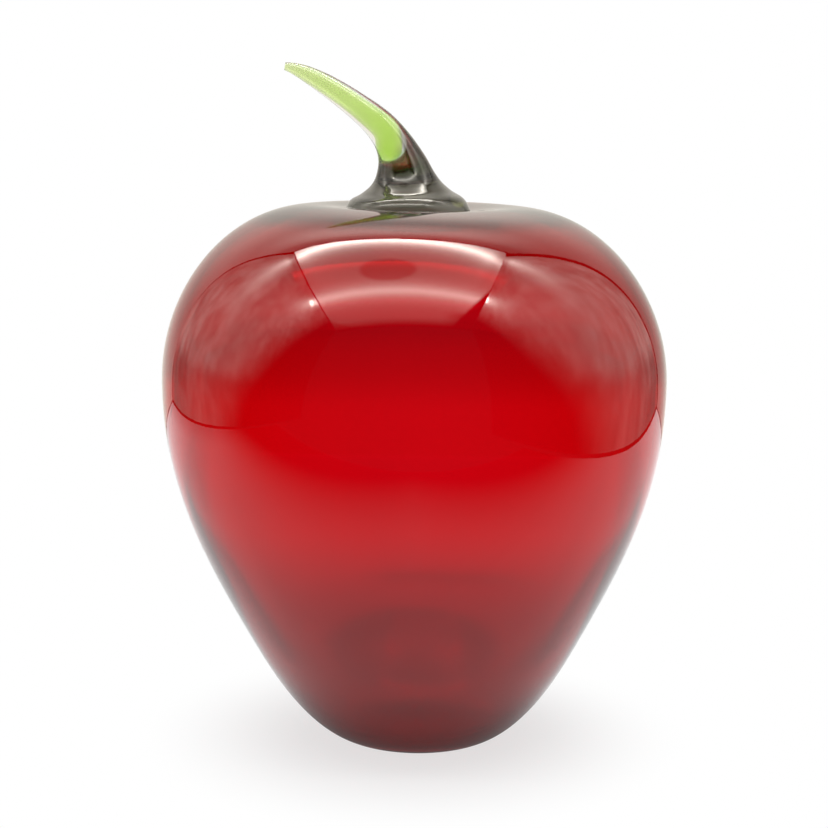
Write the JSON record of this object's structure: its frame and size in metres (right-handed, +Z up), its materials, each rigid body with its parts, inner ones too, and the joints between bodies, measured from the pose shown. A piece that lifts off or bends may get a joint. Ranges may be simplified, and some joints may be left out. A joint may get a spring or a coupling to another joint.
{
  "type": "glass apple ornament",
  "caption": "Hollow blown ruby glass apple with a flat base and a curved, flared glass stem cased over a lime core, a free-standing ornament or paperweight.",
  "frame": {"origin": "centre of the flat base, on the surface the apple stands on", "axes": "+Z up along the apple's axis, the stem bends towards -X, the picture looks along +Y"},
  "size_m": [0.105, 0.105, 0.1415],
  "materials": {
    "ruby_glass": "fire-polished transparent ruby",
    "smoke_glass": "fire-polished transparent smoky olive",
    "lime_glass": "opaque to translucent lime green"
  },
  "bodies": {
    "root": {"apple_body": "ruby_glass", "stem_casing": "smoke_glass", "stem_core": "lime_glass"}
  },
  "joints": []
}
